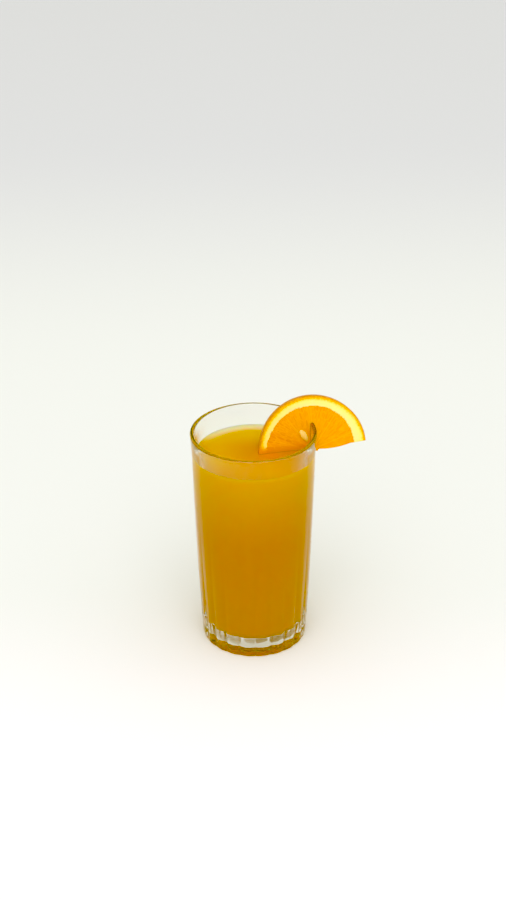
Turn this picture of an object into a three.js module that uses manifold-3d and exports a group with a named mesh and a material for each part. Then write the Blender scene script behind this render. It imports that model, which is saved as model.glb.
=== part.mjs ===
// A tall pressed-glass tumbler of fresh orange juice, with half a wheel of orange hung on its rim.
//
// Millimetres, +Z up. The origin is the middle of the flat underside of the glass, and -Y is the
// front. The orange straddles the rim on the right, a little behind the middle, and its flat edge
// dips in the juice.

import * as THREE from 'three';
import { mergeVertices } from 'three/addons/utils/BufferGeometryUtils.js';
import Module from 'manifold-3d';

// Glass
const GLASS_HEIGHT = 139.4;
const RIM_RADIUS = 37.5;
const LIP_WALL = 2.4;
const NECK_HEIGHT = 124;
const NECK_RADIUS = 36.65;
const NECK_CURVE = 1.35;
const FOOT_RADIUS = 31.95;
const SIDE_BOW = 0.55;
const FOOT_WALL = 4.3;
const WALL_CURVE = 0.75;
const HEEL_RADIUS = 1.1;
const BASE_WALL = 8.5;
const BASE_WALL_TOP = 52;
const FLOOR_THICKNESS = 8.2;
const FLOOR_CORNER = 7;

// Ribs pressed into the outside, which fade out towards the neck
const RIBS = 22;
const RIB_START = THREE.MathUtils.degToRad(0.8);
const RIB_TOP = 112;
const GROOVE_DEPTH = 1.1;
const GROOVE_FADE = 1.4;
const RIB_ROUNDNESS = 2.2;
const HEEL_GROOVE = 0.4;
const RUN_OUT = 6;

// Juice
const JUICE_LEVEL = 124.5;
const MENISCUS_RISE = 1.4;
const MENISCUS_WIDTH = 3.2;

// Orange slice: half of a wheel, cut through the middle, whose flesh sags a little along the cut
const SLICE_RADIUS = 32.85;
const SLICE_THICKNESS = 4;
const SLICE_LOBE = 0.3;
const SLICE_CROWN = 0.2;
const RIND_ROUND = 0.6;
const FLESH_RADIUS = 26.9;
const FLESH_SHIFT = -1.1;
const FLESH_DIP = 0.35;
const SEGMENTS = 10;
const SEGMENT_SHIFT = THREE.MathUtils.degToRad(14);
const CUT_SAG = 1.05;
const SAG_PLACE = 13;
const SAG_REACH = 10;
const TIP_PLACE = 2.5;
const TIP_LENGTH = 1.7;
const TIP_WIDTH = 1.3;

// How the slice hangs on the rim: turned to the back, leaning back and sunk at its inner end
const SLICE_AZIMUTH = THREE.MathUtils.degToRad(12.8);
const SLICE_LEAN = THREE.MathUtils.degToRad(13.7);
const SLICE_TILT = THREE.MathUtils.degToRad(3.4);
const SLICE_CENTRE_OUT = 35.6;
const SLICE_CENTRE_DROP = 16.3;
const SLICE_OFFSET = 0.4;

// Seed on the front face of the slice
const SEED_LENGTH = 8.6;
const SEED_WIDTH = 3.9;
const SEED_HEIGHT = 2.6;
const SEED_ALONG = 10.3;
const SEED_ANGLE = THREE.MathUtils.degToRad(115);

// Room between pieces that touch, and how finely the round shapes are divided
const GAP = 0.3;
const STEPS_PER_RIB = 4;
const WHEEL_STEPS = 80;
const FACE_RINGS = 4;
const SEED_STEPS = 12;
const ARC_STEPS = 4;
const SIDE_STEPS = 6;
const NECK_STEPS = 3;

const wasm = await Module();
wasm.setup();

const lipRadius = LIP_WALL / 2;
const lipHeight = GLASS_HEIGHT - lipRadius;
const floorCornerHeight = FLOOR_THICKNESS + FLOOR_CORNER;

// Outside of the glass at the crest of a rib: a bowed taper up to the neck, then a slight flare.
function outerRadius(z) {
  if (z > NECK_HEIGHT) {
    const up = (z - NECK_HEIGHT) / (lipHeight - NECK_HEIGHT);
    return NECK_RADIUS + (RIM_RADIUS - NECK_RADIUS) * up ** NECK_CURVE;
  }
  const up = z / NECK_HEIGHT;
  return THREE.MathUtils.lerp(FOOT_RADIUS, NECK_RADIUS, up) + SIDE_BOW * 4 * up * (1 - up);
}

// Inside of the glass, whose wall thickens towards the foot, and faster in the heavy base.
function innerRadius(z) {
  const down = Math.max(0, 1 - z / lipHeight);
  const base = Math.max(0, 1 - z / BASE_WALL_TOP);
  const wall = LIP_WALL + (FOOT_WALL - LIP_WALL) * down ** WALL_CURVE + BASE_WALL * base;
  return outerRadius(z) - wall;
}

// How far the outside lies below the crest, across a rib and up its length. Only a share of the
// groove runs out over the heel.
function grooveDepth(angle, z) {
  const rib = (angle - RIB_START) / (2 * Math.PI) * RIBS;
  const across = 2 * Math.abs(rib - Math.floor(rib) - 0.5);
  const fade = Math.max(0, 1 - Math.max(0, z) / RIB_TOP) ** GROOVE_FADE;
  const share = Math.min(1, THREE.MathUtils.lerp(HEEL_GROOVE, 1, Math.max(0, z) / RUN_OUT));
  return GROOVE_DEPTH * share * fade * across ** RIB_ROUNDNESS;
}

// Points of an arc as (radius, height), both ends included.
function arc(radius, height, size, from, to, steps = ARC_STEPS) {
  return Array.from({ length: steps + 1 }, (_, i) => {
    const angle = THREE.MathUtils.lerp(from, to, i / steps);
    return new THREE.Vector2(radius + size * Math.cos(angle), height + size * Math.sin(angle));
  });
}

// Even steps from one number to another, without both ends.
function between(from, to, steps) {
  return Array.from({ length: steps - 1 }, (_, i) => THREE.MathUtils.lerp(from, to, (i + 1) / steps));
}

// Turns a profile of (radius, height) round the Z axis. Angle 0 is the front.
function turn(profile, steps, start = 0) {
  return new THREE.LatheGeometry(profile, steps, start).rotateX(Math.PI / 2);
}

// Moves each vertex by a function of its place.
function reshape(geometry, move) {
  const position = geometry.getAttribute('position');
  const point = new THREE.Vector3();
  for (let i = 0; i < position.count; i++) {
    point.fromBufferAttribute(position, i);
    move(point);
    position.setXYZ(i, point.x, point.y, point.z);
  }
  return geometry;
}

// A closed geometry with shared vertices, as a solid for joining and cutting.
function solidOf(geometry) {
  const bare = geometry.clone();
  bare.deleteAttribute('normal');
  bare.deleteAttribute('uv');
  const merged = mergeVertices(bare);
  const index = merged.index.array;
  const kept = [];
  for (let i = 0; i < index.length; i += 3) {
    const [a, b, c] = index.slice(i, i + 3);
    if (a !== b && b !== c && c !== a) {
      kept.push(a, b, c);
    }
  }
  return new wasm.Manifold(new wasm.Mesh({
    numProp: 3,
    vertProperties: new Float32Array(merged.getAttribute('position').array),
    triVerts: new Uint32Array(kept),
  }));
}

function geometryOf(solid) {
  const mesh = solid.getMesh();
  const geometry = new THREE.BufferGeometry();
  geometry.setAttribute('position', new THREE.BufferAttribute(mesh.vertProperties, 3));
  geometry.setIndex(new THREE.BufferAttribute(mesh.triVerts, 1));
  geometry.computeVertexNormals();
  return geometry;
}

function makeGlass() {
  const neck = between(NECK_HEIGHT, lipHeight, NECK_STEPS);
  const outerSide = [RUN_OUT, ...between(RUN_OUT, RIB_TOP, SIDE_STEPS), RIB_TOP];
  const outerHeights = [...outerSide, NECK_HEIGHT, ...neck];
  const innerSide = [...between(NECK_HEIGHT, BASE_WALL_TOP, SIDE_STEPS / 2), BASE_WALL_TOP];
  const innerHeights = [...neck.toReversed(), NECK_HEIGHT, ...innerSide];
  const lipMiddle = RIM_RADIUS - lipRadius;
  const heel = outerRadius(HEEL_RADIUS) - HEEL_RADIUS;
  const cornerRadius = innerRadius(floorCornerHeight) - FLOOR_CORNER;
  const profile = [
    new THREE.Vector2(0, 0),
    ...arc(heel, HEEL_RADIUS, HEEL_RADIUS, -Math.PI / 2, 0),
    ...outerHeights.map((z) => new THREE.Vector2(outerRadius(z), z)),
    ...arc(lipMiddle, lipHeight, lipRadius, 0, Math.PI, 2 * ARC_STEPS),
    ...innerHeights.map((z) => new THREE.Vector2(innerRadius(z), z)),
    ...arc(cornerRadius, floorCornerHeight, FLOOR_CORNER, 0, -Math.PI / 2),
    new THREE.Vector2(0, FLOOR_THICKNESS),
  ];
  return reshape(turn(profile, RIBS * STEPS_PER_RIB, RIB_START), (point) => {
    const radius = Math.hypot(point.x, point.y);
    const wallMiddle = (innerRadius(point.z) + outerRadius(point.z)) / 2;
    const onFoot = point.z < FLOOR_THICKNESS && radius > heel / 2;
    if (onFoot || radius > wallMiddle) {
      const depth = grooveDepth(Math.atan2(point.x, -point.y), point.z);
      const scale = (radius - depth) / radius;
      point.x *= scale;
      point.y *= scale;
    }
  });
}

// The whole wheel, in its own frame: X out along the cut edge, Y up, Z to the front. `grow` is the
// room added all round, for cutting the juice.
function makeWheel(grow) {
  const half = SLICE_THICKNESS / 2 + grow;
  const bevel = SLICE_RADIUS + grow - RIND_ROUND;
  const pith = bevel - FLESH_RADIUS;
  const fleshRing = FLESH_RADIUS - FLESH_DIP;
  const faceRadii = [...between(0, fleshRing, FACE_RINGS), fleshRing, FLESH_RADIUS];
  const profile = [
    new THREE.Vector2(0, -half),
    ...faceRadii.map((r) => new THREE.Vector2(r, -half)),
    ...arc(bevel, -half + RIND_ROUND, RIND_ROUND, -Math.PI / 2, 0, 2),
    ...arc(bevel, half - RIND_ROUND, RIND_ROUND, 0, Math.PI / 2, 2),
    ...faceRadii.toReversed().map((r) => new THREE.Vector2(r, half)),
    new THREE.Vector2(0, half),
  ];
  return reshape(turn(profile, WHEEL_STEPS), (point) => {
    const angle = Math.atan2(point.y, point.x);
    const radius = Math.hypot(point.x, point.y);
    const lobes = SLICE_LOBE * Math.cos(3 * angle) + SLICE_CROWN * Math.sin(angle) ** 2;
    const scale = 1 + lobes / SLICE_RADIUS;
    const inFlesh = radius > 0 && radius < FLESH_RADIUS;
    const ripple = Math.cos((angle - SEGMENT_SHIFT) * SEGMENTS / 2) ** 2;
    point.x = point.x * scale + FLESH_SHIFT * Math.min(1, Math.max(0, bevel - radius) / pith);
    point.y *= scale;
    if (inFlesh && grow === 0) {
      point.z -= Math.sign(point.z) * FLESH_DIP * ripple;
    }
  });
}

function sliceMatrix() {
  const out = new THREE.Vector3(Math.cos(SLICE_AZIMUTH), Math.sin(SLICE_AZIMUTH), 0);
  const up = new THREE.Vector3(0, 0, 1);
  const front = new THREE.Vector3().crossVectors(out, up);
  const centre = out.clone().multiplyScalar(SLICE_CENTRE_OUT)
    .addScaledVector(up, GLASS_HEIGHT - SLICE_CENTRE_DROP)
    .addScaledVector(front, SLICE_OFFSET);
  return new THREE.Matrix4().makeBasis(out, up, front).setPosition(centre)
    .multiply(new THREE.Matrix4().makeRotationX(-SLICE_LEAN))
    .multiply(new THREE.Matrix4().makeRotationZ(SLICE_TILT));
}

// All that lies below the cut edge, which sags outside the glass and has a small tip by the slot.
function makeBelowCut(grow) {
  const reach = 2 * SLICE_RADIUS;
  const shape = new THREE.Shape([
    new THREE.Vector2(-reach, -reach),
    new THREE.Vector2(reach, -reach),
    new THREE.Vector2(reach, -grow),
    new THREE.Vector2(SAG_PLACE + SAG_REACH, -grow),
    ...[0.5, 0, -0.5].map((t) => {
      return new THREE.Vector2(SAG_PLACE + t * SAG_REACH, -CUT_SAG * (1 - t * t) - grow);
    }),
    new THREE.Vector2(TIP_PLACE + TIP_WIDTH, -grow),
    new THREE.Vector2(TIP_PLACE, -TIP_LENGTH - grow),
    new THREE.Vector2(TIP_PLACE - TIP_WIDTH, -grow),
    new THREE.Vector2(-reach, -grow),
  ]);
  return new THREE.ExtrudeGeometry(shape, { depth: reach, bevelEnabled: false })
    .translate(0, 0, -reach / 2);
}

// Half of the wheel, in its place over the rim, before the slot for the glass is cut.
function makeHalfWheel(grow) {
  const half = solidOf(makeWheel(grow)).subtract(solidOf(makeBelowCut(grow)));
  return solidOf(geometryOf(half).applyMatrix4(sliceMatrix()));
}

function makeSeed() {
  const seed = new THREE.SphereGeometry(1 / 2, SEED_STEPS, SEED_STEPS);
  seed.scale(SEED_LENGTH, SEED_WIDTH, SEED_HEIGHT);
  seed.translate(SEED_ALONG, 0, SLICE_THICKNESS / 2);
  seed.rotateZ(SEED_ANGLE);
  return solidOf(seed.applyMatrix4(sliceMatrix()));
}

// The glass wall with the gap added on both sides: what the slot in the slice leaves room for.
function makeSlotCutter() {
  const low = GLASS_HEIGHT - SLICE_RADIUS;
  const heights = [low, NECK_HEIGHT, ...between(NECK_HEIGHT, lipHeight, NECK_STEPS)];
  const profile = [
    ...heights.map((z) => new THREE.Vector2(outerRadius(z) + GAP, z)),
    ...arc(RIM_RADIUS - lipRadius, lipHeight, lipRadius + GAP, 0, Math.PI, 2 * ARC_STEPS),
    ...heights.toReversed().map((z) => new THREE.Vector2(innerRadius(z) - GAP, z)),
  ];
  profile.push(profile[0].clone());
  return solidOf(turn(profile, RIBS * STEPS_PER_RIB));
}

function makeSlice() {
  return geometryOf(makeHalfWheel(0).add(makeSeed()).subtract(makeSlotCutter()));
}

function makeJuice() {
  const bottom = FLOOR_THICKNESS + GAP;
  const contact = JUICE_LEVEL + MENISCUS_RISE;
  const corner = FLOOR_CORNER - GAP;
  const cornerRadius = innerRadius(floorCornerHeight) - FLOOR_CORNER;
  const base = between(floorCornerHeight, BASE_WALL_TOP, SIDE_STEPS / 2);
  const heights = [...base, BASE_WALL_TOP, ...between(BASE_WALL_TOP, JUICE_LEVEL, SIDE_STEPS)];
  const edge = innerRadius(contact) - GAP;
  const meniscus = Array.from({ length: ARC_STEPS + 1 }, (_, i) => {
    const inwards = i / ARC_STEPS;
    const height = JUICE_LEVEL + MENISCUS_RISE * (1 - inwards) ** 2;
    return new THREE.Vector2(edge - inwards * MENISCUS_WIDTH, height);
  });
  const profile = [
    new THREE.Vector2(0, bottom),
    ...arc(cornerRadius, floorCornerHeight, corner, -Math.PI / 2, 0),
    ...heights.map((z) => new THREE.Vector2(innerRadius(z) - GAP, z)),
    ...meniscus,
    new THREE.Vector2(0, JUICE_LEVEL),
  ];
  const body = solidOf(turn(profile, RIBS * ARC_STEPS));
  return geometryOf(body.subtract(makeHalfWheel(GAP)));
}

function addPiece(group, name, geometry, look) {
  const mesh = new THREE.Mesh(geometry, new THREE.MeshStandardMaterial(look));
  mesh.name = name;
  group.add(mesh);
}

const drink = new THREE.Group();
drink.name = 'orange_juice';
addPiece(drink, 'glass', makeGlass(), {
  color: 0xe9ede8,
  roughness: 0.03,
  metalness: 0,
  transparent: true,
  opacity: 0.35,
});
addPiece(drink, 'juice', makeJuice(), { color: 0xd08a05, roughness: 0.15, metalness: 0 });
addPiece(drink, 'orange_slice', makeSlice(), { color: 0xf5a20c, roughness: 0.35, metalness: 0 });

export default drink;
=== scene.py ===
# %% [markdown]
# A glass of fresh orange juice
#
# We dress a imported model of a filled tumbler: the pressed glass, the juice in it and the half
# wheel of orange on its rim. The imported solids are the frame: the box of the glass gives its height
# and its rim, and each piece we make here stands exactly where its solid stands. The scene is in
# metres, with +Z up and -Y to the front.

# %% Load the frame
import math

import bmesh
import bpy
from mathutils import Matrix, Vector, noise


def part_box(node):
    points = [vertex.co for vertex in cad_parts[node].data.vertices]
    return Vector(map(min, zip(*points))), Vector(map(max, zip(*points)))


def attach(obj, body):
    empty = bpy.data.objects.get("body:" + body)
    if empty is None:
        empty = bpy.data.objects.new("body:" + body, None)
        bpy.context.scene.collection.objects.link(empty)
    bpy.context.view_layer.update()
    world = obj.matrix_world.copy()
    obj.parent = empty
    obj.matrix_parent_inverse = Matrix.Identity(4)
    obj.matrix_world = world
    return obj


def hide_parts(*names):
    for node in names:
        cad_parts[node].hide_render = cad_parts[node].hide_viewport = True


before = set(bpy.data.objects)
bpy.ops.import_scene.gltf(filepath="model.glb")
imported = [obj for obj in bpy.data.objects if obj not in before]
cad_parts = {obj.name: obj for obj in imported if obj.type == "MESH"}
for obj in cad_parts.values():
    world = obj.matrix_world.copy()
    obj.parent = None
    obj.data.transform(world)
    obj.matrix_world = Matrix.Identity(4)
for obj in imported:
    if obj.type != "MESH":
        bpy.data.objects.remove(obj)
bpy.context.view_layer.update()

MM = 0.001

# %% [markdown]
# Small helpers
#
# Colours are picked from a screen, so they are sRGB hex codes. Blender mixes light, so it wants
# linear values: one function turns one into the other. One more function adds a shader node with
# its settings and links, so that a material reads as a list of what it is made of.

# %% Colour and nodes
EASED = {"interpolation_type": "SMOOTHSTEP"}
COLOURS = {"data_type": "RGBA"}
# A Mix node has a set of sockets for each type, all under the same names. These are the colour ones.
SHARE = 0
FIRST = 6
SECOND = 7
MIXED = 2


def linear(code):
    """An sRGB hex code as the linear red, green, blue and alpha that Blender works with."""
    parts = [int(code[i:i + 2], 16) / 255 for i in (1, 3, 5)]
    return tuple(c / 12.92 if c <= 0.04045 else ((c + 0.055) / 1.055) ** 2.4 for c in parts) + (1.0,)


def add_node(tree, kind, settings=None, inputs=None):
    """Adds a node. An input's value is a plain value or the output of another node."""
    node = tree.nodes.new(kind)
    for name, value in (settings or {}).items():
        setattr(node, name, value)
    for name, value in (inputs or {}).items():
        if isinstance(value, bpy.types.NodeSocket):
            tree.links.new(value, node.inputs[name])
        else:
            node.inputs[name].default_value = value
    return node


def new_material(name, **surface):
    """A material with one Principled shader, and its node tree and shader for adding to."""
    material = bpy.data.materials.new(name)
    material.use_nodes = True
    shader = material.node_tree.nodes["Principled BSDF"]
    for socket, value in surface.items():
        shader.inputs[socket.replace("_", " ")].default_value = value
    print("material:", name)
    return material, material.node_tree, shader


print("a middle grey is", [round(c, 3) for c in linear("#808080")[:3]], "in linear light")

# %% [markdown]
# A glass and the juice in it are round, so each is turned from a profile: a chain of points is
# spun once round Z. A spin leaves doubled points at the seam and on the axis. They are merged, and
# then the normals are recalculated, so that every face points outwards.

# %% Objects from bmesh
def finish_piece(bm, name, *materials):
    """Turns a bmesh into a smooth-shaded object at the origin, with its materials."""
    mesh = bpy.data.meshes.new(name)
    bm.to_mesh(mesh)
    bm.free()
    piece = bpy.data.objects.new(name, mesh)
    bpy.context.scene.collection.objects.link(piece)
    for material in materials:
        mesh.materials.append(material)
    mesh.shade_smooth()
    print(name, "has", len(mesh.polygons), "faces")
    return piece


def arc(radius, height, size, start, end, steps):
    """Points of an arc as (radius, height), with both ends, angles in degrees."""
    angles = [math.radians(start + (end - start) * i / steps) for i in range(steps + 1)]
    return [(radius + size * math.cos(a), height + size * math.sin(a)) for a in angles]


def heights(low, high, steps):
    """Even heights from low to high, without both ends."""
    return [low + (high - low) * i / steps for i in range(1, steps)]


def lathe(profile, steps, start_angle=0.0):
    """Spins a profile of (radius, height) in millimetres round Z, into a closed skin."""
    bm = bmesh.new()
    across = Vector((math.sin(start_angle), -math.cos(start_angle), 0.0))
    chain = [bm.verts.new((across * radius + Vector((0, 0, height))) * MM) for radius, height in profile]
    edges = [bm.edges.new(pair) for pair in zip(chain, chain[1:])]
    bmesh.ops.spin(
        bm, geom=chain + edges, cent=(0, 0, 0), axis=(0, 0, 1),
        angle=2 * math.pi, steps=steps, use_merge=True,
    )
    bmesh.ops.remove_doubles(bm, verts=bm.verts, dist=1e-6)
    bmesh.ops.recalc_face_normals(bm, faces=bm.faces)
    return bm


# %% [markdown]
# Camera
#
# The drink is seen from a little above, about a metre away, so the rim shows as an open ellipse
# and the upright sides close in towards the foot. The camera stands in front, on -Y.

# %% Place the camera
CAMERA_PLACE = (-0.0003, -0.9105, 0.6274)
CAMERA_PITCH = 28.81
CAMERA_ROLL = -0.35
FOCAL_LENGTH = 70.2
SENSOR_WIDTH = 36.0

camera_data = bpy.data.cameras.new("camera")
camera_data.lens = FOCAL_LENGTH
camera_data.sensor_width = SENSOR_WIDTH
camera = bpy.data.objects.new("camera", camera_data)
bpy.context.scene.collection.objects.link(camera)
tilt = Matrix.Rotation(math.radians(90 - CAMERA_PITCH), 4, "X")
roll = Matrix.Rotation(math.radians(CAMERA_ROLL), 4, "Z")
camera.matrix_world = Matrix.Translation(CAMERA_PLACE) @ tilt @ roll
bpy.context.scene.camera = camera
print("camera at", CAMERA_PLACE, "looking down", CAMERA_PITCH, "degrees")

# %% [markdown]
# Floor
#
# The drink stands on a seamless sheet of matt paper. Paper scatters light every way, so the eye
# sees an even pale ground without a mirror image of the glass. Under a real studio lamp such a
# sheet is brightest in front and greys towards the back. We could chase that with more lamps, but
# every lamp also shows in the glass, so the paper itself carries three tones, blended along Y.

# %% Make the floor
FLOOR_SIZE = 12.0
FLOOR_DROP = 0.0002
PAPER_LIT = -0.12
PAPER_SHADED = 0.06
PAPER_TURNS_UP = 0.35
PAPER_STANDS = 0.95

floor_material, floor_tree, floor_shader = new_material("matt paper", Roughness=0.8)
floor_place = add_node(floor_tree, "ShaderNodeTexCoord").outputs["Object"]
floor_split = add_node(floor_tree, "ShaderNodeSeparateXYZ", inputs={"Vector": floor_place})
past_front = add_node(floor_tree, "ShaderNodeMapRange", EASED, {
    "Value": floor_split.outputs["Y"],
    "From Min": PAPER_LIT,
    "From Max": PAPER_SHADED,
}).outputs["Result"]
near_tone = add_node(floor_tree, "ShaderNodeMix", COLOURS, {
    SHARE: past_front,
    FIRST: linear("#faf8f6"),
    SECOND: linear("#f0f2ed"),
}).outputs[MIXED]
backwards = add_node(floor_tree, "ShaderNodeMapRange", EASED, {
    "Value": floor_split.outputs["Y"],
    "From Min": PAPER_TURNS_UP,
    "From Max": PAPER_STANDS,
}).outputs["Result"]
paper_tone = add_node(floor_tree, "ShaderNodeMix", COLOURS, {
    SHARE: backwards,
    FIRST: near_tone,
    SECOND: linear("#e1e2e5"),
}).outputs[MIXED]
floor_tree.links.new(paper_tone, floor_shader.inputs["Base Color"])

floor_mesh = bmesh.new()
bmesh.ops.create_grid(floor_mesh, x_segments=1, y_segments=1, size=FLOOR_SIZE / 2)
bmesh.ops.translate(floor_mesh, verts=floor_mesh.verts, vec=(0, 0, -FLOOR_DROP))
floor = finish_piece(floor_mesh, "floor", floor_material)

# %% [markdown]
# Light
#
# A glass shows only by what it bends: under a sky that is the same all round it would vanish. So
# the sky is bright overhead and in front, and dimmer and warmer at the horizon behind. That draws
# the dark line along the rim. The strength is the dot product of the view direction with a vector
# that leans up and forward, added to an even level.

# %% Light the sky
SKY_LEVEL = 0.8
SKY_FROM_ABOVE = 0.2
SKY_FROM_FRONT = 0.22
SKY_WARM = -0.35
SKY_WHITE = 0.1

world = bpy.data.worlds.new("soft sky")
world.use_nodes = True
bpy.context.scene.world = world
sky = world.node_tree
direction = add_node(sky, "ShaderNodeTexCoord")
weights = add_node(sky, "ShaderNodeVectorMath", {"operation": "DOT_PRODUCT"}, {
    0: direction.outputs["Generated"],
    1: (0.0, -SKY_FROM_FRONT, SKY_FROM_ABOVE),
})
brightness = add_node(sky, "ShaderNodeMath", {"operation": "ADD"}, {
    0: weights.outputs["Value"],
    1: SKY_LEVEL,
})
overhead = add_node(sky, "ShaderNodeMapRange", EASED, {
    "Value": weights.outputs["Value"],
    "From Min": SKY_WARM,
    "From Max": SKY_WHITE,
}).outputs["Result"]
sky_colour = add_node(sky, "ShaderNodeMix", COLOURS, {
    SHARE: overhead,
    FIRST: linear("#f2e6cc"),
    SECOND: linear("#ffffff"),
}).outputs[MIXED]
background = sky.nodes["Background"]
sky.links.new(sky_colour, background.inputs["Color"])
sky.links.new(brightness.outputs["Value"], background.inputs["Strength"])
print("sky strength straight up", round(SKY_LEVEL + SKY_FROM_ABOVE, 2))

# %% [markdown]
# One wide softbox hangs above the camera. It lifts the front of the juice and lays the soft shadow
# behind the glass. A small lamp would draw a hard shadow and a sharp window in the glass.

# %% Hang the lamp
LAMP_PLACE = (0.0, -0.9, 1.4)
LAMP_SIZE = 1.2
LAMP_POWER = 7.4
LAMP_AIM = Vector((0, 0, 0.13))

lamp_data = bpy.data.lights.new("softbox", "AREA")
lamp_data.size = LAMP_SIZE
lamp_data.energy = LAMP_POWER
softbox = bpy.data.objects.new("softbox", lamp_data)
softbox.location = LAMP_PLACE
softbox.rotation_euler = (LAMP_AIM - softbox.location).to_track_quat("-Z", "Y").to_euler()
bpy.context.scene.collection.objects.link(softbox)
print("softbox at", LAMP_PLACE, "of", LAMP_POWER, "watts")

# %% [markdown]
# A camera's own colour science makes deep yellows deeper: their little blue goes to nothing. The
# black level of the view does the same here, for blue alone, so that the juice glows as in print
# while the whites stay white.

# %% Show the colours as a camera does
CAMERA_BLACK = (0.0, 0.0, 0.118)

view = bpy.context.scene.view_settings
view.view_transform = "Standard"
view.use_curve_mapping = True
view.curve_mapping.black_level = CAMERA_BLACK
view.curve_mapping.update()
print("black level", CAMERA_BLACK)

# %% [markdown]
# The glass
#
# A pressed tumbler: molten glass is pushed into an iron mould, whose ribs mark the outside, and the
# lip is then melted round in a flame. One profile turned all the way round gives the wall, the
# heavy base and the lip together. The sizes below are in millimetres. The height and the radius of
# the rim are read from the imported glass, and two formulas join them to the neck and the foot.

# %% Sizes of the glass
glass_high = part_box("glass")[1]
GLASS_HEIGHT = glass_high.z / MM
RIM_RADIUS = glass_high.x / MM
LIP_WALL = 2.4
NECK_HEIGHT = 124.0
NECK_RADIUS = 36.65
NECK_CURVE = 1.35
FOOT_RADIUS = 31.95
SIDE_BOW = 0.55
FOOT_WALL = 4.3
WALL_CURVE = 0.75
HEEL_RADIUS = 1.1
BASE_WALL = 8.5
BASE_WALL_TOP = 52.0
FLOOR_THICKNESS = 8.2
FLOOR_CORNER = 7.0
LIP_RADIUS = LIP_WALL / 2
LIP_HEIGHT = GLASS_HEIGHT - LIP_RADIUS
print("glass", round(GLASS_HEIGHT, 1), "mm tall, rim", round(2 * RIM_RADIUS, 1), "mm across")


def outer_radius(z):
    """The outside at the crest of a rib: a bowed taper up to the neck, then a slight flare."""
    if z > NECK_HEIGHT:
        up = (z - NECK_HEIGHT) / (LIP_HEIGHT - NECK_HEIGHT)
        return NECK_RADIUS + (RIM_RADIUS - NECK_RADIUS) * up ** NECK_CURVE
    up = z / NECK_HEIGHT
    return FOOT_RADIUS + (NECK_RADIUS - FOOT_RADIUS) * up + SIDE_BOW * 4 * up * (1 - up)


def inner_radius(z):
    """The inside: the wall thickens towards the foot, and faster in the heavy base."""
    down = max(0.0, 1 - z / LIP_HEIGHT)
    base = max(0.0, 1 - z / BASE_WALL_TOP)
    return outer_radius(z) - LIP_WALL - (FOOT_WALL - LIP_WALL) * down ** WALL_CURVE - BASE_WALL * base


# %% [markdown]
# The underside of a pressed glass is hollowed a little, so that it stands on a ring. Here the
# hollow holds a low rounded button. It acts as a lens: it bends the bright paper up through the
# base and draws the white crescent under the juice, and the plain ring round it mirrors the juice
# as an amber band. Its steps are fine, because a coarse lens would break the crescent.

# %% Profile of the glass
BUTTON_RADIUS = 21.5
BUTTON_LOW = 0.2
BUTTON_RISE = 2.5
BUTTON_CURVE = 2.0
BUTTON_RINGS = 48
STEP_WIDTH = 0.8
RING_RADII = (24, 26, 28)
FLOOR_RADII = (12, 8, 4, 0)
HEEL_STEPS = 8
OUTSIDE_STEPS = 56
LIP_STEPS = 14
LIP_MEETS_WALL = 0.5
INSIDE_STEPS = 40
CORNER_STEPS = 10

corner_height = FLOOR_THICKNESS + FLOOR_CORNER
corner_radius = inner_radius(corner_height) - FLOOR_CORNER
heel_radius = outer_radius(HEEL_RADIUS) - HEEL_RADIUS
lip_top = LIP_HEIGHT - LIP_MEETS_WALL
button_steps = [i / BUTTON_RINGS for i in range(BUTTON_RINGS + 1)]
glass_profile = [(BUTTON_RADIUS * t, BUTTON_LOW + BUTTON_RISE * t ** BUTTON_CURVE) for t in button_steps]
glass_profile += [(r, 0.0) for r in (BUTTON_RADIUS + STEP_WIDTH, *RING_RADII)]
glass_profile += arc(heel_radius, HEEL_RADIUS, HEEL_RADIUS, -90, 0, HEEL_STEPS)
glass_profile += [(outer_radius(z), z) for z in heights(HEEL_RADIUS, lip_top, OUTSIDE_STEPS)]
glass_profile += arc(RIM_RADIUS - LIP_RADIUS, LIP_HEIGHT, LIP_RADIUS, 0, 180, LIP_STEPS)
glass_profile += [(inner_radius(z), z) for z in heights(lip_top, corner_height, INSIDE_STEPS)]
glass_profile += arc(corner_radius, corner_height, FLOOR_CORNER, 0, -90, CORNER_STEPS)
glass_profile += [(r, FLOOR_THICKNESS) for r in FLOOR_RADII]
print("glass profile has", len(glass_profile), "points")

# %% [markdown]
# The ribs are the mould's flutes. Between two crests the wall is pushed in, most near the foot and
# less and less up to the neck, and only a share of that runs out over the heel. The underside
# carries fine rays from the middle, which make the crescent sparkle. Both are pushed into the
# turned skin point by point, which keeps one closed mesh. A boolean for each rib would be slower.

# %% Turn the glass and press the ribs
RIBS = 22
RIB_START = math.radians(0.8)
RIB_TOP = 112.0
GROOVE_DEPTH = 1.1
GROOVE_FADE = 1.4
RIB_ROUNDNESS = 2.2
HEEL_GROOVE = 0.4
HEEL_MARGIN = 0.3
RUN_OUT = 6.0
STEPS_PER_RIB = 15
SUNBURST_RAYS = 110
SUNBURST_DEPTH = 0.09
SUNBURST_START = 1.0
BUTTON_MARGIN = 0.1


def groove_depth(angle, z):
    """How far the outside lies below a rib's crest. Only a share of the groove runs out over the heel."""
    place = (angle - RIB_START) / (2 * math.pi) * RIBS
    across = 2 * abs(place - math.floor(place) - 0.5)
    fade = max(0.0, 1 - max(0.0, z) / RIB_TOP) ** GROOVE_FADE
    share = min(1.0, HEEL_GROOVE + (1 - HEEL_GROOVE) * max(0.0, z) / RUN_OUT)
    return GROOVE_DEPTH * share * fade * across ** RIB_ROUNDNESS


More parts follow.
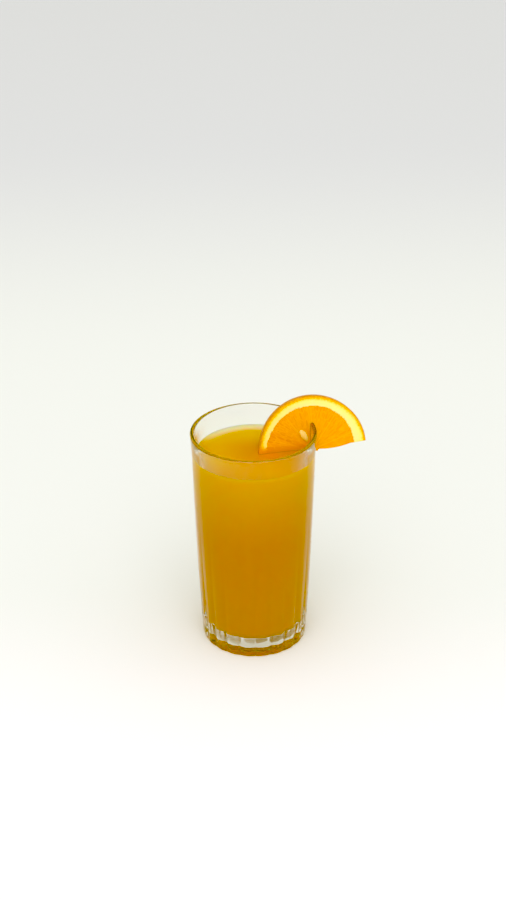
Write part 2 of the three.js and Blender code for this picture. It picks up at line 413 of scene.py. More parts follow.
glass_mesh = lathe(glass_profile, RIBS * STEPS_PER_RIB, RIB_START)
sunburst_top = BUTTON_LOW + BUTTON_RISE + SUNBURST_DEPTH
for vert in glass_mesh.verts:
    radius = vert.co.xy.length / MM
    z = vert.co.z / MM
    middle = (inner_radius(z) + outer_radius(z)) / 2
    outside = radius > (heel_radius - HEEL_MARGIN if z < FLOOR_THICKNESS else middle)
    if outside:
        depth = groove_depth(math.atan2(vert.co.x, -vert.co.y), z)
        vert.co.xy *= (radius - depth) / radius
    elif SUNBURST_START < radius < BUTTON_RADIUS + BUTTON_MARGIN and z < sunburst_top:
        ray = math.cos(math.atan2(vert.co.x, -vert.co.y) * SUNBURST_RAYS)
        vert.co.z += SUNBURST_DEPTH * MM * ray * radius / BUTTON_RADIUS
print("grooves are", round(groove_depth(RIB_START, RUN_OUT), 2), "mm deep above the heel")

# %% [markdown]
# Soda-lime glass bends light with an index of about 1.52 and is almost without colour: it only
# turns faintly green-grey where it is thick. Its skin was pressed and then polished by a flame, so
# the eye sees crisp reflections and looks straight through. The roughness is nothing at all, and
# the transmission is full.

# %% Glass material
GLASS_IOR = 1.52
GLASS_TINT = linear("#fcfefc")

soda_glass, _, glass_shader = new_material(
    "soda-lime glass, pressed", Roughness=0.0, IOR=GLASS_IOR,
)
glass_shader.inputs["Base Color"].default_value = GLASS_TINT
glass_shader.inputs["Transmission Weight"].default_value = 1.0

# %% [markdown]
# The juice has wetted the inside of the wall above its level. The film can hardly be seen straight
# on, but where the wall would mirror at a flat angle, the pulp in the film takes up the light. A
# Fresnel node tells how much a surface mirrors, so it also tells how much the film shows. The film
# thins out towards the lip, and it is a second material on the same mesh, on the inner faces.

# %% Film of juice on the wall
JUICE_LEVEL = 124.5
MENISCUS_RISE = 1.4
FILM_EVEN = 130.5
FILM_HIGH = 137.4
FILM_SHARE = 0.85
FILM_STARTS = 0.05
FILM_FULL = 0.4

contact = JUICE_LEVEL + MENISCUS_RISE
wetted_glass, film_tree, film_shader = new_material(
    "soda-lime glass, wetted with juice", Roughness=0.0, IOR=GLASS_IOR,
)
mirrored = add_node(film_tree, "ShaderNodeFresnel", inputs={"IOR": GLASS_IOR}).outputs["Fac"]
flat_on = add_node(film_tree, "ShaderNodeMapRange", EASED, {
    "Value": mirrored,
    "From Min": FILM_STARTS,
    "From Max": FILM_FULL,
}).outputs["Result"]
film_place = add_node(film_tree, "ShaderNodeTexCoord").outputs["Object"]
film_split = add_node(film_tree, "ShaderNodeSeparateXYZ", inputs={"Vector": film_place})
wet = add_node(film_tree, "ShaderNodeMapRange", EASED, {
    "Value": film_split.outputs["Z"],
    "From Min": FILM_HIGH * MM,
    "From Max": FILM_EVEN * MM,
}).outputs["Result"]
film = add_node(film_tree, "ShaderNodeMath", {"operation": "MULTIPLY"}, {
    0: flat_on,
    1: wet,
}).outputs["Value"]
clear = add_node(film_tree, "ShaderNodeMath", {"operation": "MULTIPLY_ADD"}, {
    0: film,
    1: -FILM_SHARE,
    2: 1.0,
})
film_tree.links.new(clear.outputs["Value"], film_shader.inputs["Transmission Weight"])
film_colour = add_node(film_tree, "ShaderNodeMix", COLOURS, {
    SHARE: film,
    FIRST: GLASS_TINT,
    SECOND: linear("#e89a08"),
}).outputs[MIXED]
film_tree.links.new(film_colour, film_shader.inputs["Base Color"])

# %% Finish the tumbler
for face in glass_mesh.faces:
    centre = face.calc_center_median() / MM
    z = centre.z
    on_inside = centre.xy.length < (inner_radius(z) + outer_radius(z)) / 2
    face.material_index = 1 if on_inside and contact < z < FILM_HIGH else 0
tumbler = finish_piece(glass_mesh, "tumbler", soda_glass, wetted_glass)

# %% [markdown]
# The juice
#
# The juice fills the glass to the wall, so its skin reaches a hair into the glass and no air shows
# between them. Water clings to glass, so the surface curls up at the wall in a small meniscus. It
# is turned from a profile like the glass, with the glass's own inner radius.

# %% Turn the juice
MENISCUS_WIDTH = 3.2
MENISCUS_STEPS = 10
INTO_GLASS = 0.12
BOTTOM_RADII = (0, 6, 12)
SURFACE_RADII = (24, 18, 12, 6, 0)
JUICE_WALL_STEPS = 36
JUICE_STEPS = 160

edge = inner_radius(contact)
juice_profile = [(r, FLOOR_THICKNESS - INTO_GLASS) for r in BOTTOM_RADII]
juice_profile += arc(corner_radius, corner_height, FLOOR_CORNER + INTO_GLASS, -90, 0, CORNER_STEPS)
wall_heights = heights(corner_height, contact, JUICE_WALL_STEPS)
juice_profile += [(inner_radius(z) + INTO_GLASS, z) for z in wall_heights]
juice_profile += [(edge + INTO_GLASS, contact)]
curl = [i / MENISCUS_STEPS for i in range(MENISCUS_STEPS + 1)]
juice_profile += [(edge - MENISCUS_WIDTH * t, JUICE_LEVEL + MENISCUS_RISE * (1 - t) ** 2) for t in curl]
juice_profile += [(r, JUICE_LEVEL) for r in SURFACE_RADII]
juice_mesh = lathe(juice_profile, JUICE_STEPS)
print("juice is", round(2 * edge, 1), "mm across at its level")

# %% [markdown]
# Fresh juice is cloudy: fine pulp floats in it, and light wanders some millimetres in before it
# comes out again, red the furthest and blue hardly at all. To the eye it glows softly and hides
# what is behind it. That is subsurface scattering, with a reach for each colour. Its index of 1.34
# is that of sweetened water. Behind glass the juice has no mirror of its own, so it has a second
# material there, with hardly any specular.

# %% Cloudy juice
JUICE_IOR = 1.34
JUICE_REACH = 6 * MM
REACH_OF_COLOURS = (1.0, 0.6, 0.1)


def juice_material(name, specular, roughness):
    """Cloudy juice, with its object coordinates whole and split, for the tones to read."""
    material, tree, shader = new_material(name, Roughness=roughness, IOR=JUICE_IOR)
    shader.inputs["Specular IOR Level"].default_value = specular
    shader.inputs["Subsurface Weight"].default_value = 1.0
    shader.inputs["Subsurface Radius"].default_value = REACH_OF_COLOURS
    shader.inputs["Subsurface Scale"].default_value = JUICE_REACH
    place = add_node(tree, "ShaderNodeTexCoord").outputs["Object"]
    split = add_node(tree, "ShaderNodeSeparateXYZ", inputs={"Vector": place})
    return material, tree, shader, place, split


# %% [markdown]
# The glassful is painted deeper in colour below and lighter near the top: painted light, for the light
# that falls in from above. A texture could paint that, but it only depends on the height, so an eased
# range of Z is enough. A thin layer at the very bottom is painted brighter, for the light that the heavy
# base feeds into it.

# %% Juice behind the glass
BODY_LOW = 70.0
BODY_HIGH = 140.0
BOTTOM_START = 0.2
BOTTOM_END = 2.0

against_glass, side_tree, side_shader, _, side_split = juice_material(
    "orange juice, behind glass", 0.05, 0.3,
)
# Painted light: the juice is lighter towards the top, as lit from above.
lit_from_above = add_node(side_tree, "ShaderNodeMapRange", EASED, {
    "Value": side_split.outputs["Z"],
    "From Min": BODY_LOW * MM,
    "From Max": BODY_HIGH * MM,
}).outputs["Result"]
body_painted_light = add_node(side_tree, "ShaderNodeMix", COLOURS, {
    SHARE: lit_from_above,
    FIRST: linear("#e69a00"),
    SECOND: linear("#fac400"),
}).outputs[MIXED]
# Painted light: a brighter layer at the very bottom, lit through the base.
off_bottom = add_node(side_tree, "ShaderNodeMapRange", EASED, {
    "Value": side_split.outputs["Z"],
    "From Min": (FLOOR_THICKNESS + BOTTOM_START) * MM,
    "From Max": (FLOOR_THICKNESS + BOTTOM_END) * MM,
}).outputs["Result"]
side_colour = add_node(side_tree, "ShaderNodeMix", COLOURS, {
    SHARE: off_bottom,
    FIRST: linear("#ffa600"),
    SECOND: body_painted_light,
}).outputs[MIXED]

# %% [markdown]
# Where the curled edge thins out on the wall, light shines through it and it turns pale. At the back, seen
# over the surface, it is palest. This tone is laid over the painted tones by height.

# %% The brim of the juice
at_brim = add_node(side_tree, "ShaderNodeMapRange", EASED, {
    "Value": side_split.outputs["Z"],
    "From Min": JUICE_LEVEL * MM,
    "From Max": contact * MM,
}).outputs["Result"]
side_back = add_node(side_tree, "ShaderNodeMapRange", EASED, {
    "Value": side_split.outputs["Y"],
    "From Min": 0.0,
    "From Max": edge * MM,
}).outputs["Result"]
brim_colour = add_node(side_tree, "ShaderNodeMix", COLOURS, {
    SHARE: side_back,
    FIRST: linear("#f6b640"),
    SECOND: linear("#fff2d4"),
}).outputs[MIXED]
brimmed_colour = add_node(side_tree, "ShaderNodeMix", COLOURS, {
    SHARE: at_brim,
    FIRST: side_colour,
    SECOND: brim_colour,
}).outputs[MIXED]
side_tree.links.new(brimmed_colour, side_shader.inputs["Base Color"])
print("brim is pale from", JUICE_LEVEL, "to", contact, "mm")

# %% [markdown]
# The open surface is wet and mirrors the sky softly. Its tone changes slowly across the glass: deeper to
# the right and the front, yellower at the back. These tones are painted light and shade, for how the light
# falls across the surface. The tones are blended one over the other, each by an eased range of a
# coordinate, which is simpler to steer than a picture of them.

# %% Tones across the open surface
TONE_LEFT = -28.0
TONE_RIGHT = 4.0
TONE_FRONT = -28.0
TONE_MIDDLE = -6.0
TONE_PAST_MIDDLE = 5.0
TONE_BACK = 27.0

wet_surface, top_tree, top_shader, top_place, top_split = juice_material(
    "orange juice, open surface", 0.5, 0.05,
)
# Painted light and shade across the open surface.
to_right = add_node(top_tree, "ShaderNodeMapRange", EASED, {
    "Value": top_split.outputs["X"],
    "From Min": TONE_LEFT * MM,
    "From Max": TONE_RIGHT * MM,
}).outputs["Result"]
across_colour = add_node(top_tree, "ShaderNodeMix", COLOURS, {
    SHARE: to_right,
    FIRST: linear("#dba000"),
    SECOND: linear("#ce8400"),
}).outputs[MIXED]
to_middle = add_node(top_tree, "ShaderNodeMapRange", EASED, {
    "Value": top_split.outputs["Y"],
    "From Min": TONE_FRONT * MM,
    "From Max": TONE_MIDDLE * MM,
}).outputs["Result"]
front_colour = add_node(top_tree, "ShaderNodeMix", COLOURS, {
    SHARE: to_middle,
    FIRST: linear("#e09200"),
    SECOND: across_colour,
}).outputs[MIXED]
to_back = add_node(top_tree, "ShaderNodeMapRange", EASED, {
    "Value": top_split.outputs["Y"],
    "From Min": TONE_PAST_MIDDLE * MM,
    "From Max": TONE_BACK * MM,
}).outputs["Result"]
open_painted_shade = add_node(top_tree, "ShaderNodeMix", COLOURS, {
    SHARE: to_back,
    FIRST: front_colour,
    SECOND: linear("#dcac00"),
}).outputs[MIXED]

# %% [markdown]
# Where the orange dips in, the drink is painted redder round it: partly the orange under the surface
# showing through the juice, and partly a painted reflection of the orange in the surface. The distance to
# one point under the slice gives a soft round patch of that tone.

# %% Juice round the orange
SLICE_TINT_PLACE = Vector((9.0, 0.0, JUICE_LEVEL)) * MM
SLICE_TINT_REACH = 13 * MM

from_slice = add_node(top_tree, "ShaderNodeVectorMath", {"operation": "DISTANCE"}, {
    0: top_place,
    1: SLICE_TINT_PLACE,
})
clear_of_slice = add_node(top_tree, "ShaderNodeMapRange", EASED, {
    "Value": from_slice.outputs["Value"],
    "From Min": 0.0,
    "From Max": SLICE_TINT_REACH,
}).outputs["Result"]
# Painted reflection and show-through of the orange, as one redder tone.
slice_tint_and_reflection = add_node(top_tree, "ShaderNodeMix", COLOURS, {
    SHARE: clear_of_slice,
    FIRST: linear("#dd8400"),
    SECOND: open_painted_shade,
}).outputs[MIXED]
print("juice is redder up to", round(SLICE_TINT_REACH / MM), "mm from the slice")

# %% [markdown]
# A pale cream tone is laid on the surface along the glass at the back. Its share is how near the glass a
# point lies times how far back it lies.

# %% Pale tone at the back
PALE_BAND_WIDTH = 7.5
PALE_BAND_SPARE = 2.5
PALE_BAND_FRONT = 6.0
PALE_BAND_BACK = 30.0

from_axis = add_node(top_tree, "ShaderNodeVectorMath", {"operation": "DISTANCE"}, {
    0: top_place,
    1: Vector((0.0, 0.0, JUICE_LEVEL)) * MM,
})
pale_band_edge = add_node(top_tree, "ShaderNodeMapRange", EASED, {
    "Value": from_axis.outputs["Value"],
    "From Min": (edge - PALE_BAND_WIDTH) * MM,
    "From Max": (edge + PALE_BAND_SPARE) * MM,
}).outputs["Result"]
pale_band_back = add_node(top_tree, "ShaderNodeMapRange", EASED, {
    "Value": top_split.outputs["Y"],
    "From Min": PALE_BAND_FRONT * MM,
    "From Max": PALE_BAND_BACK * MM,
}).outputs["Result"]
pale_band = add_node(top_tree, "ShaderNodeMath", {"operation": "MULTIPLY"}, {0: pale_band_edge, 1: pale_band_back})
top_colour = add_node(top_tree, "ShaderNodeMix", COLOURS, {
    SHARE: pale_band.outputs["Value"],
    FIRST: slice_tint_and_reflection,
    SECOND: linear("#fff2d0"),
}).outputs[MIXED]
top_tree.links.new(top_colour, top_shader.inputs["Base Color"])
print("froth starts", PALE_BAND_WIDTH, "mm from the glass")

# %% [markdown]
# One mesh carries both materials. A face belongs to the open surface when it lies no lower than the
# level and looks up. All others touch the glass.

# %% Finish the juice
SURFACE_MARGIN = 0.1
SURFACE_FACES_UP = 0.2

for face in juice_mesh.faces:
    on_top = min(v.co.z for v in face.verts) > (JUICE_LEVEL - SURFACE_MARGIN) * MM
    face.material_index = 0 if on_top and face.normal.z > SURFACE_FACES_UP else 1
juice_fill = finish_piece(juice_mesh, "juice_fill", wet_surface, against_glass)

# %% [markdown]
# The orange slice
#
# A wheel sliced off an orange, halved through the middle and slit from there, so that it sits
# astride the rim. It is worked out flat, in millimetres, with its middle at the origin, and one
# matrix carries it to its place: out along the rim, down, leaning back and tilted.

# %% Sizes and place of the slice
SLICE_RADIUS = 32.85
SLICE_THICKNESS = 4.0
SLICE_LOBE = 0.3
SLICE_CROWN = 0.2
SLICE_AZIMUTH = math.radians(12.8)
SLICE_LEAN = math.radians(13.7)
SLICE_TILT = math.radians(3.4)
SLICE_CENTRE_OUT = 35.6
SLICE_CENTRE_DROP = 16.3
SLICE_OFFSET = 0.4

out = Vector((math.cos(SLICE_AZIMUTH), math.sin(SLICE_AZIMUTH), 0.0))
up = Vector((0.0, 0.0, 1.0))
front = out.cross(up)
slice_centre = out * SLICE_CENTRE_OUT + up * (GLASS_HEIGHT - SLICE_CENTRE_DROP) + front * SLICE_OFFSET
slice_axes = Matrix((out, up, front)).transposed().to_4x4()
slice_place = (
    Matrix.Scale(MM, 4) @ Matrix.Translation(slice_centre) @ slice_axes
    @ Matrix.Rotation(-SLICE_LEAN, 4, "X") @ Matrix.Rotation(SLICE_TILT, 4, "Z")
)
print("slice centre", [round(c, 1) for c in slice_centre], "mm")


def skin_radius(angle):
    """The outline of the wheel, slightly uneven as the fruit is. Angle 0 is the outer end."""
    return SLICE_RADIUS + SLICE_LOBE * math.cos(3 * angle) + SLICE_CROWN * math.sin(angle) ** 2


# %% [markdown]
# The slice is spun as half a disc: a line of points from the middle of the wheel to its skin
# sweeps half a turn. The second face is a copy, and one bridge between the two borders makes the
# rind and the flat cut together. The rings lie closer towards the skin, where rind, pith and flesh
# meet, because the colours and the relief need their points there.

# %% Sweep the half wheel
FACE_STEPS = 60
SWEEP_STEPS = 150
RING_SPACING = 1.25
EDGE_CUTS = 7
WELD = 1e-4

slice_mesh = bmesh.new()
radii = [SLICE_RADIUS * (1 - (1 - i / FACE_STEPS) ** RING_SPACING) for i in range(FACE_STEPS + 1)]
chain = [slice_mesh.verts.new((r, 0.0, SLICE_THICKNESS / 2)) for r in radii]
line = [slice_mesh.edges.new(pair) for pair in zip(chain, chain[1:])]
bmesh.ops.spin(
    slice_mesh, geom=chain + line, cent=(0, 0, 0), axis=(0, 0, 1),
    angle=math.pi, steps=SWEEP_STEPS, use_merge=False,
)
bmesh.ops.remove_doubles(slice_mesh, verts=slice_mesh.verts, dist=WELD)
first_face = slice_mesh.verts[:] + slice_mesh.edges[:] + slice_mesh.faces[:]
copied = bmesh.ops.duplicate(slice_mesh, geom=first_face)
back_verts = [part for part in copied["geom"] if isinstance(part, bmesh.types.BMVert)]
bmesh.ops.translate(slice_mesh, verts=back_verts, vec=(0, 0, -SLICE_THICKNESS))
borders = [e for e in slice_mesh.edges if e.is_boundary]
bmesh.ops.bridge_loops(slice_mesh, edges=borders)
crossing = [e for e in slice_mesh.edges if abs(e.verts[0].co.z - e.verts[1].co.z) > SLICE_THICKNESS / 4]
bmesh.ops.subdivide_edges(slice_mesh, edges=crossing, cuts=EDGE_CUTS, use_grid_fill=True)
bmesh.ops.recalc_face_normals(slice_mesh, faces=slice_mesh.faces)
print("half wheel has", len(slice_mesh.faces), "faces")

# %% [markdown]
# Cut flesh isn't flat. It sinks a little along the membranes and swells between them, and it is
# made of juice sacs, long drops that point to the middle. A Voronoi pattern that is stretched along
# the radius gives the sacs: the gap between the nearest and the second cell is small along a sac's
# border, so the surface drops there. Moving the points keeps the skin closed, and the relief shows
# at the slice's outline too. The flat cut hangs in a soft belly, with a small torn tip by the slit.

# %% Where flesh, sacs and the cut edge lie
FLESH_RADIUS = 26.9
FLESH_SHIFT = -1.1
FLESH_WAVE = 0.35
FLESH_WAVES = 4.0
FLESH_SEED = 3.0
SAC_LENGTH = 5.0
SAC_WIDTH = 1.25
SAC_WIDTH_AT = 22
CUT_SAG = 1.05
SAG_PLACE = 13.0
SAG_REACH = 10.0
TIP_PLACE = 2.5
TIP_LENGTH = 1.7
TIP_WIDTH = 1.3


def smooth_step(value, low, high):
    """0 below low, 1 above high and an easy curve between."""
    t = min(1.0, max(0.0, (value - low) / (high - low)))
    return t * t * (3 - 2 * t)


def sac_space(point):
    """Where a point lies among the sacs. They have their true width at the radius SAC_WIDTH_AT."""
    radius = point.xy.length
    angle = math.atan2(point.y, point.x)
    return Vector((radius / SAC_LENGTH, angle * SAC_WIDTH_AT / SAC_WIDTH, point.z / SAC_WIDTH))


def flesh_gap(point):
    """How far a point lies outside the flesh, in the pith or rind; below 0 it is in the flesh."""
    turn = math.atan2(point.y, point.x) * FLESH_WAVES
    wave = FLESH_WAVE * noise.noise(Vector((turn, 0.0, FLESH_SEED)))
    return math.hypot(point.x - FLESH_SHIFT, point.y) - FLESH_RADIUS + wave


def cut_sag(x):
    """How far the cut edge hangs below its line: a soft belly and a small torn tip by the slit."""
    belly = CUT_SAG * max(0.0, 1 - ((x - SAG_PLACE) / SAG_REACH) ** 2)
    tip = max(0.0, 1 - abs(x - TIP_PLACE) / TIP_WIDTH)
    return max(belly, TIP_LENGTH * tip)


print("sacs are", SAC_LENGTH, "by", SAC_WIDTH, "mm")

# %% Shape the rind, the segments and the juice sacs
SEGMENTS = 10
SEGMENT_SHIFT = math.radians(14)
RIND_ROUND = 0.6
FLESH_DIP = 0.35
FLESH_EDGE = 0.8
DIP_START = 6.0
SAC_RELIEF = 0.12
SAC_BORDER = 0.5
SAC_START = 2.0
SAC_FULL = 16.0
SAG_FADE = 5.0
ON_SKIN = 0.01

for vert in slice_mesh.verts:
    x, y, z = vert.co
    radius = math.hypot(x, y)
    angle = math.atan2(y, x)
    depth = SLICE_RADIUS - radius
    ripple = math.cos((angle - SEGMENT_SHIFT) * SEGMENTS / 2) ** 2
    flesh = smooth_step(-flesh_gap(vert.co), 0.0, FLESH_EDGE)
    near, far = noise.voronoi(sac_space(vert.co))[0][:2]
    border = 1 - smooth_step(far - near, 0.0, SAC_BORDER)
    relief = SAC_RELIEF * border * smooth_step(radius, SAC_START, SAC_FULL)
    if abs(z) > SLICE_THICKNESS / 2 - ON_SKIN:
        drop = flesh * (FLESH_DIP * ripple * smooth_step(radius, 0, DIP_START) + relief)
        skin = max(0.0, RIND_ROUND - depth)
        drop += RIND_ROUND - math.sqrt(max(0.0, RIND_ROUND ** 2 - skin ** 2))
        vert.co.z -= math.copysign(drop, z)
    elif depth < ON_SKIN:
        limit = SLICE_THICKNESS / 2 - RIND_ROUND
        vert.co.z = z * limit / (SLICE_THICKNESS / 2)
    else:
        vert.co.y += flesh * relief
    vert.co.xy *= skin_radius(angle) / SLICE_RADIUS
    vert.co.y -= cut_sag(x) * max(0.0, 1 - vert.co.y / SAG_FADE)
print("flesh sinks up to", FLESH_DIP + SAC_RELIEF, "mm")

# %% [markdown]
# The slit follows the wall of the glass. A ring that is turned to the wall's own section, a hair
# thinner so that the wet flesh clings to the glass, is cut out of the slice.

# %% Slit the slice over the rim
CLING = 0.08
SLIT_STEPS = 16
SLIT_LIP_STEPS = 12
SLIT_TURNS = 240

slit_heights = heights(GLASS_HEIGHT - SLICE_RADIUS, LIP_HEIGHT, SLIT_STEPS)
slit_profile = [(outer_radius(z) - CLING, z) for z in slit_heights]
slit_profile += arc(RIM_RADIUS - LIP_RADIUS, LIP_HEIGHT, LIP_RADIUS - CLING, 0, 180, SLIT_LIP_STEPS)
slit_profile += [(inner_radius(z) + CLING, z) for z in reversed(slit_heights)]
slit_profile.append(slit_profile[0])
slit = finish_piece(lathe(slit_profile, SLIT_TURNS), "slit")

slice_mesh.transform(slice_place)
half_wheel = finish_piece(slice_mesh, "half_wheel")
cut = half_wheel.modifiers.new("slit", "BOOLEAN")
cut.operation = "DIFFERENCE"
cut.solver = "MANIFOLD"
cut.object = slit
evaluated = half_wheel.evaluated_get(bpy.context.evaluated_depsgraph_get())
slit_slice = bpy.data.meshes.new_from_object(evaluated)
half_wheel.modifiers.clear()
half_wheel.data = slit_slice
bpy.data.objects.remove(slit)
print("slit slice has", len(slit_slice.polygons), "faces")

# %% [markdown]
# The finish follows the fruit, not the room: how deep a point lies under the skin and how far it is
# outside the flesh tell rind from pith from flesh, and the way to the nearest membrane draws the
# segments. These three are stored on the points of the mesh in millimetres, for the material to
# read, and with them the place among the sacs, which counts in sacs.

# %% Store depth, membranes and sacs on the mesh
to_slice = slice_place.inverted()
depths = []
gaps = []
membranes = []
sacs = []
for vert in slit_slice.vertices:
    local = to_slice @ vert.co
    angle = math.atan2(local.y, local.x)
    radius = local.xy.length
    depths.append(skin_radius(angle) - radius)
    gaps.append(flesh_gap(local))
    turn = (angle - SEGMENT_SHIFT) * SEGMENTS / (2 * math.pi)
    from_membrane = (turn - round(turn)) * 2 * math.pi / SEGMENTS
    membranes.append(radius * abs(math.sin(from_membrane)))
    sacs.extend(sac_space(local))
for name, kind, values in (
    ("skin_depth", "FLOAT", depths),
    ("flesh_gap", "FLOAT", gaps),
    ("membrane_gap", "FLOAT", membranes),
    ("sac_space", "FLOAT_VECTOR", sacs),
):
    attribute = slit_slice.attributes.new(name, kind, "POINT")
    attribute.data.foreach_set("vector" if kind == "FLOAT_VECTOR" else "value", values)
print("stored four values on", len(slit_slice.vertices), "points")

# %% [markdown]
# Cut orange is moist, so it has a soft shine, and its index is a little above water's. Light goes
# a couple of millimetres into flesh and pith, the red the furthest, so the eye sees no hard shade
# on it. The borders of rind and pith wander a little in a real fruit, so noise is added to both
# stored distances.

# %% Orange material and its distances
ORANGE_IOR = 1.38
ORANGE_REACH = 2 * MM
REACH_IN_FLESH = (1.0, 0.5, 0.1)
RAGGED_CELL = 1.1
RAGGED_DEPTH = 2.2

orange, orange_tree, orange_shader = new_material("fresh orange, cut", Roughness=0.35, IOR=ORANGE_IOR)
orange_shader.inputs["Subsurface Weight"].default_value = 0.6
orange_shader.inputs["Subsurface Radius"].default_value = REACH_IN_FLESH
orange_shader.inputs["Subsurface Scale"].default_value = ORANGE_REACH
orange_place = add_node(orange_tree, "ShaderNodeTexCoord").outputs["Object"]
orange_split = add_node(orange_tree, "ShaderNodeSeparateXYZ", inputs={"Vector": orange_place})
ragged = add_node(orange_tree, "ShaderNodeTexNoise", inputs={
    "Vector": orange_place,
    "Scale": 1 / (RAGGED_CELL * MM),
    "Detail": 2.0,
})


def ragged_distance(name):
    """A distance stored on the mesh, whose borders wander a little, as a cut through a fruit does."""
    stored = add_node(orange_tree, "ShaderNodeAttribute", {"attribute_name": name})
    wander = add_node(orange_tree, "ShaderNodeMath", {"operation": "MULTIPLY_ADD"}, {
        0: ragged.outputs["Fac"],
        1: RAGGED_DEPTH,
        2: stored.outputs["Fac"],
    })
    return add_node(orange_tree, "ShaderNodeMath", {"operation": "SUBTRACT"}, {
        0: wander.outputs["Value"],
        1: RAGGED_DEPTH / 2,
    }).outputs["Value"]


# %% [markdown]
# From the skin inwards the peel goes from a brownish orange, where the knife bruised the oil
# glands, through orange and yellow to the pale yellow pith. A colour ramp over the depth paints
# all of them, with its stops in millimetres.

# %% Colour of the peel
PEEL_DEPTH = 6.0
PEEL_STOPS = (
    (0.0, "#c8824e"),
    (0.6, "#e09e52"),
    (1.2, "#f2b24a"),
    (1.9, "#ffd458"),
    (2.8, "#ffea8c"),
    (4.6, "#ffea9a"),
)

skin_share = add_node(orange_tree, "ShaderNodeMath", {"operation": "DIVIDE"}, {
    0: ragged_distance("skin_depth"),
    1: PEEL_DEPTH,
})
peel = add_node(orange_tree, "ShaderNodeValToRGB", inputs={"Fac": skin_share.outputs["Value"]})
while len(peel.color_ramp.elements) < len(PEEL_STOPS):
    peel.color_ramp.elements.new(1.0)
for element, (depth, code) in zip(peel.color_ramp.elements, PEEL_STOPS):
    element.position = depth / PEEL_DEPTH
    element.color = linear(code)
print("peel has", len(PEEL_STOPS), "tones")

# %% [markdown]
# The flesh takes cells of the same size and direction as the relief, through the stored sac space.
# Each sac has its own tone between two oranges, the walls between them are lighter, and the
# membranes between the segments are lighter still.

# %% Colour of the flesh
SAC_WALL = 0.12
MEMBRANE_START = 0.1
MEMBRANE_END = 0.4

sac_place = add_node(orange_tree, "ShaderNodeAttribute", {"attribute_name": "sac_space"}).outputs["Vector"]
sac_cells = add_node(orange_tree, "ShaderNodeTexVoronoi", {"feature": "F1"}, {
    "Vector": sac_place,
    "Scale": 1.0,
})
cell_tone = add_node(orange_tree, "ShaderNodeSeparateColor", inputs={"Color": sac_cells.outputs["Color"]})
sac_colour = add_node(orange_tree, "ShaderNodeMix", COLOURS, {
    SHARE: cell_tone.outputs["Red"],
    FIRST: linear("#ee9648"),
    SECOND: linear("#f6a44c"),
}).outputs[MIXED]
sac_walls = add_node(orange_tree, "ShaderNodeTexVoronoi", {"feature": "DISTANCE_TO_EDGE"}, {
    "Vector": sac_place,
    "Scale": 1.0,
})
off_wall = add_node(orange_tree, "ShaderNodeMapRange", EASED, {
    "Value": sac_walls.outputs["Distance"],
    "From Min": 0.0,
    "From Max": SAC_WALL,
}).outputs["Result"]
walled_colour = add_node(orange_tree, "ShaderNodeMix", COLOURS, {
    SHARE: off_wall,
    FIRST: linear("#faae50"),
    SECOND: sac_colour,
}).outputs[MIXED]
membrane_gap = add_node(orange_tree, "ShaderNodeAttribute", {"attribute_name": "membrane_gap"})
off_membrane = add_node(orange_tree, "ShaderNodeMapRange", EASED, {
    "Value": membrane_gap.outputs["Fac"],
    "From Min": MEMBRANE_START,
    "From Max": MEMBRANE_END,
}).outputs["Result"]
flesh_colour = add_node(orange_tree, "ShaderNodeMix", COLOURS, {
    SHARE: off_membrane,
    FIRST: linear("#fcb45c"),
    SECOND: walled_colour,
}).outputs[MIXED]
print("membranes are", 2 * MEMBRANE_END, "mm wide with their soft edges")

# %% [markdown]
# Inside the glass the lower end of the slice has drunk juice: pith and flesh lose their pale tones
# there and melt into the drink. Outside the glass the slice stays dry right down to its cut.

# %% Where the slice is soaked
PITH_WET = JUICE_LEVEL + 1.0
PITH_DRY = JUICE_LEVEL + 5.0
WALL_INNER = 29.0
WALL_OUTER = 34.0

past_wall = add_node(orange_tree, "ShaderNodeMapRange", EASED, {
    "Value": orange_split.outputs["X"],
    "From Min": WALL_INNER * MM,
    "From Max": WALL_OUTER * MM,
}).outputs["Result"]


def dry_share(low):
    """1 where the slice is dry: above the juice, or outside the glass."""
    above = add_node(orange_tree, "ShaderNodeMapRange", EASED, {
        "Value": orange_split.outputs["Z"],
        "From Min": low * MM,
        "From Max": PITH_DRY * MM,
    })
    return add_node(orange_tree, "ShaderNodeMath", {"operation": "MAXIMUM"}, {
        0: above.outputs["Result"],
        1: past_wall,
    }).outputs["Value"]


wet_peel = add_node(orange_tree, "ShaderNodeMix", COLOURS, {
    SHARE: dry_share(PITH_WET),
    FIRST: linear("#ee9434"),
    SECOND: peel.outputs["Color"],
}).outputs[MIXED]
wet_flesh = add_node(orange_tree, "ShaderNodeMix", COLOURS, {
    SHARE: dry_share(JUICE_LEVEL),
    FIRST: linear("#e4883c"),
    SECOND: flesh_colour,
}).outputs[MIXED]
print("slice is soaked below", PITH_DRY, "mm inside the glass")

# %% [markdown]
# Flesh ends in pith along a crisp line, so a narrow range over the stored distance joins the two.
# The mesh loses its slots before it takes the material, in case the cut left an empty one.

# %% Join peel and flesh
PITH_START = -0.3
PITH_END = 0.5

pith_share = add_node(orange_tree, "ShaderNodeMapRange", EASED, {
    "Value": ragged_distance("flesh_gap"),
    "From Min": PITH_START,
    "From Max": PITH_END,
}).outputs["Result"]
orange_colour = add_node(orange_tree, "ShaderNodeMix", COLOURS, {
    SHARE: pith_share,
    FIRST: wet_flesh,
    SECOND: wet_peel,
}).outputs[MIXED]
orange_tree.links.new(orange_colour, orange_shader.inputs["Base Color"])
slit_slice.materials.clear()
slit_slice.materials.append(orange)
slit_slice.shade_smooth()
print("orange material has", len(orange_tree.nodes), "nodes")

# %% [markdown]
# One pale seed was cut free of its pocket and lies in the front face, pointing to the middle. It
# is a ball drawn out to a drop: one end is pinched before the ball is stretched to length.

# %% Shape the seed
SEED_LENGTH = 8.6
SEED_WIDTH = 3.9
SEED_HEIGHT = 2.6
SEED_ALONG = 10.3
SEED_ANGLE = math.radians(115)
SEED_POINT = 0.45
SEED_TURNS = 32
SEED_RINGS = 20

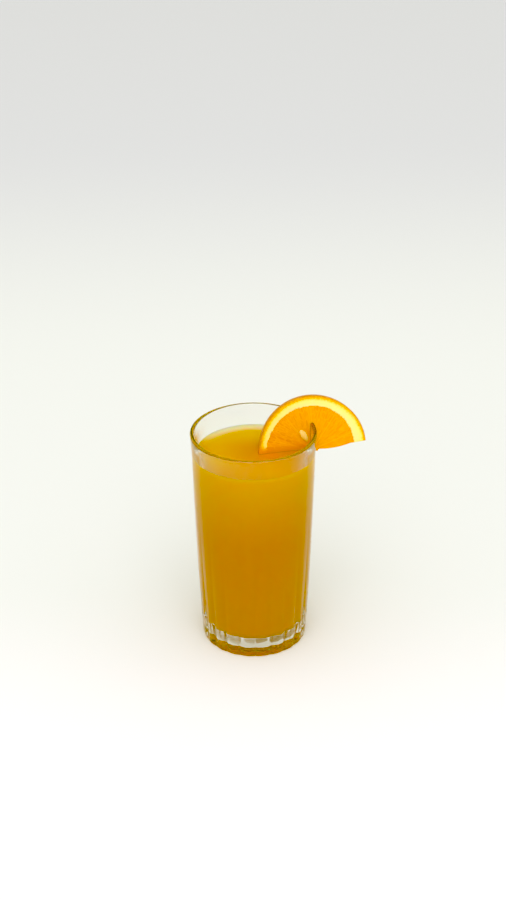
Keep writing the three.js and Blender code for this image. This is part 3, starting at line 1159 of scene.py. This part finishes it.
seed_mesh = bmesh.new()
bmesh.ops.create_uvsphere(seed_mesh, u_segments=SEED_TURNS, v_segments=SEED_RINGS, radius=0.5)
bmesh.ops.rotate(seed_mesh, verts=seed_mesh.verts, matrix=Matrix.Rotation(math.pi / 2, 3, "Y"))
for vert in seed_mesh.verts:
    towards_tip = max(0.0, -2 * vert.co.x)
    vert.co.yz *= 1 - SEED_POINT * towards_tip ** 2
bmesh.ops.scale(seed_mesh, verts=seed_mesh.verts, vec=(SEED_LENGTH, SEED_WIDTH, SEED_HEIGHT))
bmesh.ops.translate(seed_mesh, verts=seed_mesh.verts, vec=(SEED_ALONG, 0, SLICE_THICKNESS / 2))
seed_mesh.transform(slice_place @ Matrix.Rotation(SEED_ANGLE, 4, "Z"))
print("seed is", SEED_LENGTH, "mm long")

# %% [markdown]
# The coat of a fresh seed is cream, wet and faintly mottled. A noise of about a millimetre blends
# two creams, because one flat colour would look like plastic.

# %% Seed coat
SEED_GRAIN = 0.9
GRAIN_LOW = 0.35
GRAIN_HIGH = 0.65

seed_coat, seed_tree, seed_shader = new_material("orange seed coat", Roughness=0.35, IOR=1.45)
seed_place = add_node(seed_tree, "ShaderNodeTexCoord").outputs["Object"]
seed_grain = add_node(seed_tree, "ShaderNodeTexNoise", inputs={
    "Vector": seed_place,
    "Scale": 1 / (SEED_GRAIN * MM),
    "Detail": 3.0,
})
grain_share = add_node(seed_tree, "ShaderNodeMapRange", EASED, {
    "Value": seed_grain.outputs["Fac"],
    "From Min": GRAIN_LOW,
    "From Max": GRAIN_HIGH,
}).outputs["Result"]
seed_colour = add_node(seed_tree, "ShaderNodeMix", COLOURS, {
    SHARE: grain_share,
    FIRST: linear("#fcc47a"),
    SECOND: linear("#ffd892"),
}).outputs[MIXED]
seed_tree.links.new(seed_colour, seed_shader.inputs["Base Color"])
seed = finish_piece(seed_mesh, "seed", seed_coat)

# %% [markdown]
# Put the pieces on the frame
#
# Each piece stands for the imported solid in its place and rides on the one body, and the imported solid
# is hidden. The slice and its seed stand for one solid together.

# %% Ride on the body and hide the imported parts
for piece, node, slot_name in (
    (tumbler, "glass", "clear_glass"),
    (juice_fill, "juice", "orange_juice"),
    (half_wheel, "orange_slice", "fresh_orange"),
    (seed, "orange_slice", "fresh_orange"),
):
    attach(piece, "root")
    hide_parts(node)
    print(piece.name, "stands for", node)
